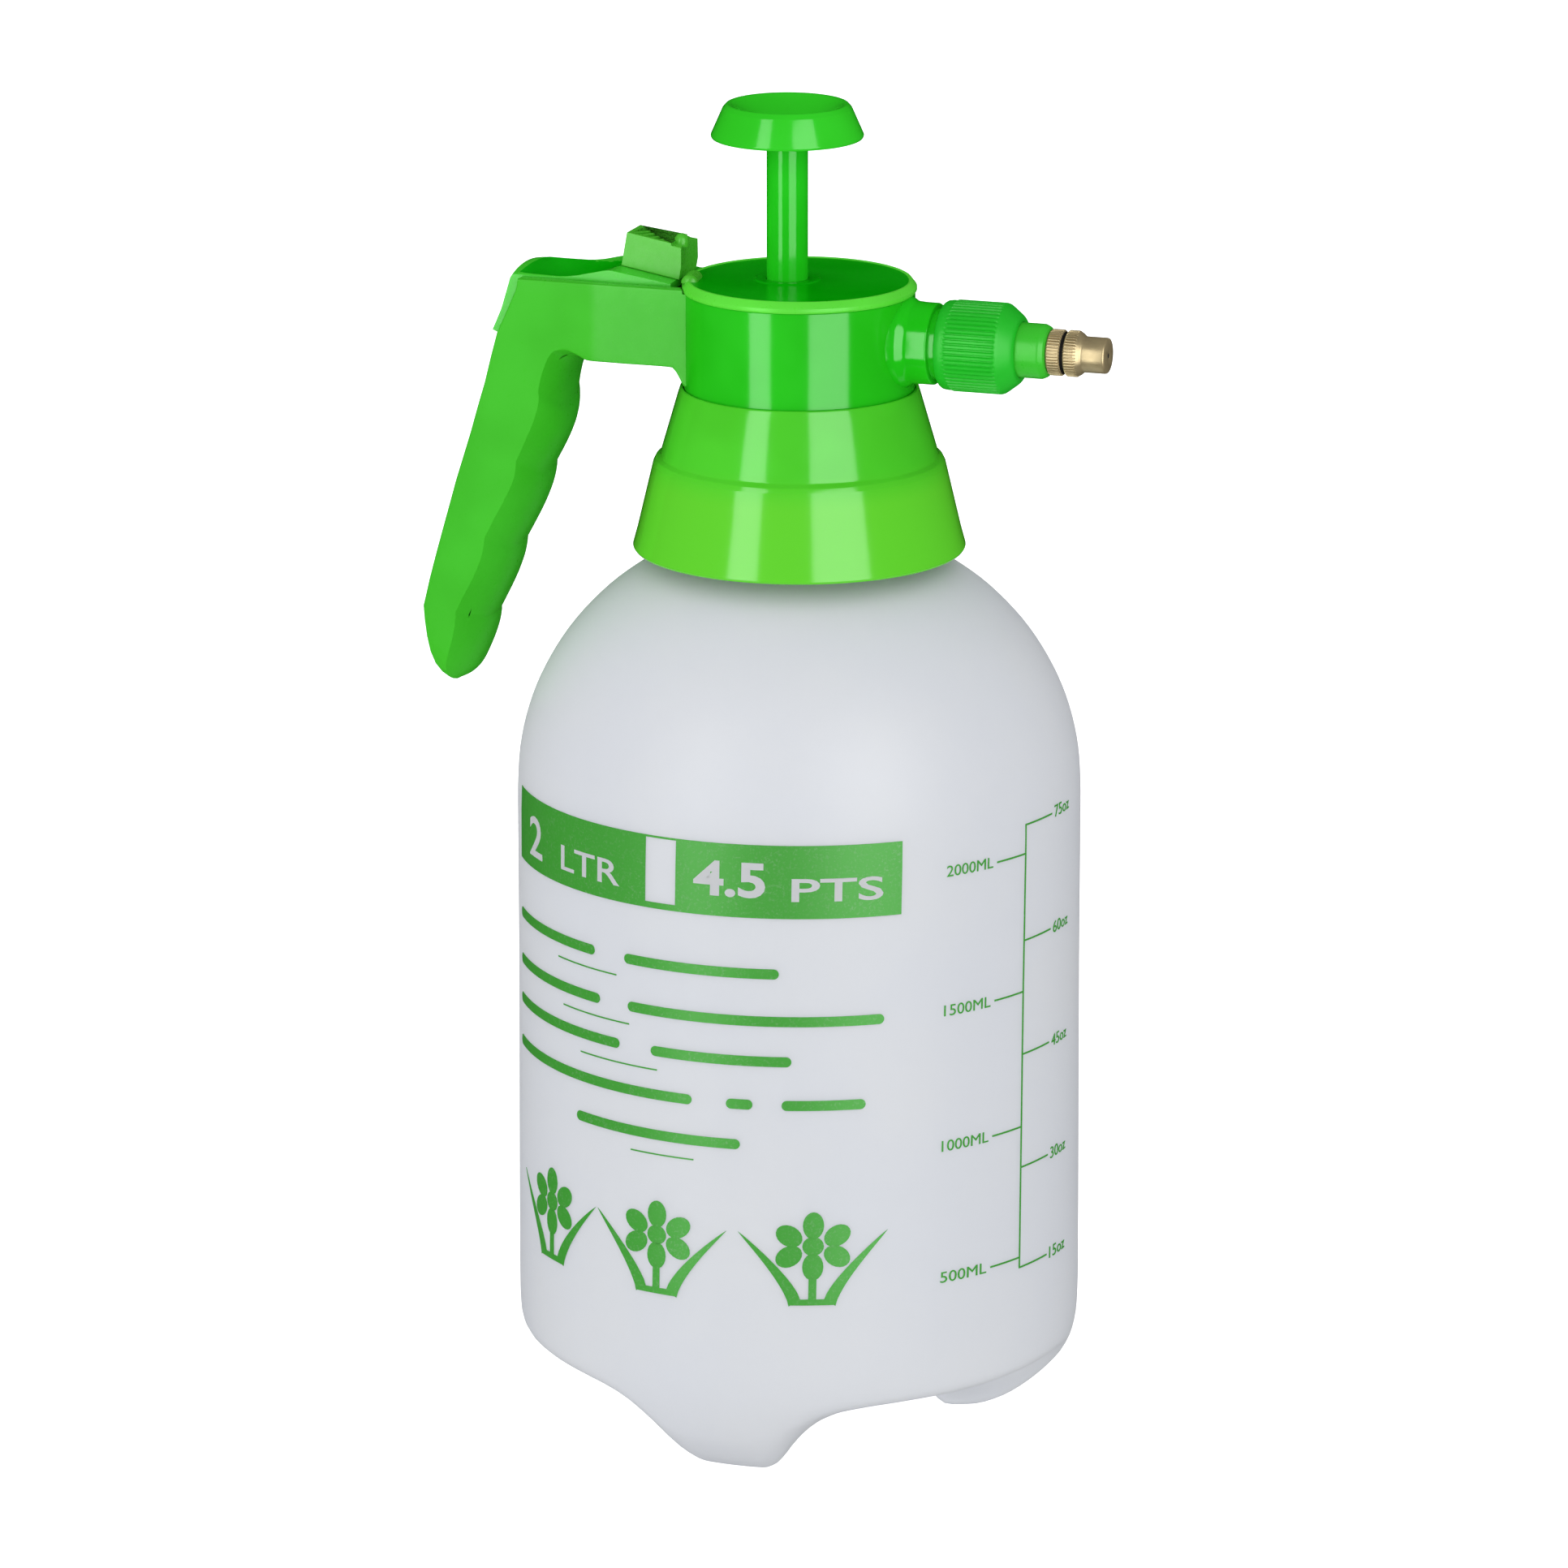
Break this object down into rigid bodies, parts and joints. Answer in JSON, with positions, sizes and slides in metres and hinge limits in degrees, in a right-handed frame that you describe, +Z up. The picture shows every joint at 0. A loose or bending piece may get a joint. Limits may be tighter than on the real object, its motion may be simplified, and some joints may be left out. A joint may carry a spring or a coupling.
{
  "type": "pump sprayer",
  "caption": "Hand compression sprayer: milky footed bottle, screw collar, grip head with thumb lever and lock, plunger pump and adjustable brass nozzle.",
  "frame": {"origin": "on the bottle's axis, in the plane that the feet stand on", "axes": "+Z up along the bottle, +X towards the nozzle, the grip is at -X; the XZ plane is the plane of symmetry of the head"},
  "size_m": [0.1707, 0.139, 0.332],
  "materials": {
    "bottle": "milky translucent polyethylene, satin, with green screen print",
    "collar": "moulded, gloss",
    "head": "moulded, gloss",
    "trim": "moulded, gloss",
    "knob": "moulded, soft gloss",
    "white_plastic": "natural acetal",
    "rubber": "black nitrile",
    "hose": "clear soft hose",
    "steel": "drawn stainless wire",
    "brass": "turned and knurled"
  },
  "bodies": {
    "bottle": {"bottle": "bottle"},
    "head": {"head_body": "head", "head_cover": "trim", "neck_gasket": "rubber", "pump_cylinder": "white_plastic", "cylinder_cap": "white_plastic", "check_valve": "rubber", "trigger_pin": "steel", "valve_body": "white_plastic", "valve_washer": "rubber", "feed_hose": "hose", "delivery_hose": "hose", "dip_tube": "hose", "strainer": "white_plastic"},
    "collar": {"collar_nut": "collar"},
    "pump": {"pump_rod": "trim", "pump_knob": "knob", "pump_piston": "white_plastic", "piston_ring": "rubber"},
    "lever": {"trigger_lever": "trim"},
    "lock": {"lock_slider": "knob"},
    "valve": {"valve_stem": "brass", "valve_spring": "steel"},
    "nozzle": {"nozzle_washer": "rubber", "nozzle_tube": "trim", "nozzle_base": "brass"},
    "cap_nut": {"nozzle_cap_nut": "trim"},
    "tip": {"nozzle_tip": "brass"}
  },
  "joints": [
    {"name": "head_lift", "type": "slide", "parent": "bottle", "child": "head", "axis": [0, 0, 1], "range_m": [0, 0.01]},
    {"name": "collar_turn", "type": "hinge", "parent": "head", "child": "collar", "pos_m": [0, 0, 0.24], "axis": [0, 0, 1], "range_deg": [0, 900.1]},
    {"name": "plunger", "type": "slide", "parent": "head", "child": "pump", "axis": [0, 0, 1], "range_m": [-0.0345, 0.06]},
    {"name": "trigger", "type": "hinge", "parent": "head", "child": "lever", "pos_m": [-0.033, 0, 0.279], "axis": [0, 1, 0], "range_deg": [-5.1, 0]},
    {"name": "lock_slide", "type": "slide", "parent": "lever", "child": "lock", "axis": [0.9848, 0, -0.1736], "range_m": [-0.0045, 0]},
    {"name": "valve_travel", "type": "slide", "parent": "head", "child": "valve", "axis": [0, 0, 1], "range_m": [-0.00098, 0], "stiffness_N_per_m": 5000, "springref_m": 0.0014, "deforming": ["valve_spring"]},
    {"name": "nozzle_draw", "type": "slide", "parent": "head", "child": "nozzle", "axis": [1, 0, 0], "range_m": [0, 0.008]},
    {"name": "cap_nut_turn", "type": "hinge", "parent": "nozzle", "child": "cap_nut", "pos_m": [0.045, 0, 0.2743], "axis": [1, 0, 0], "range_deg": [0, 1440.1]},
    {"name": "tip_turn", "type": "hinge", "parent": "nozzle", "child": "tip", "pos_m": [0.07, 0, 0.2743], "axis": [1, 0, 0], "range_deg": [0, 720]}
  ],
  "couplings": [
    {"joint": "collar_turn", "follows": "head_lift", "rad_per_m": 1570.8},
    {"joint": "trigger", "follows": "valve_travel", "rad_per_m": 88.496},
    {"joint": "cap_nut_turn", "follows": "nozzle_draw", "rad_per_m": 3141.6}
  ]
}
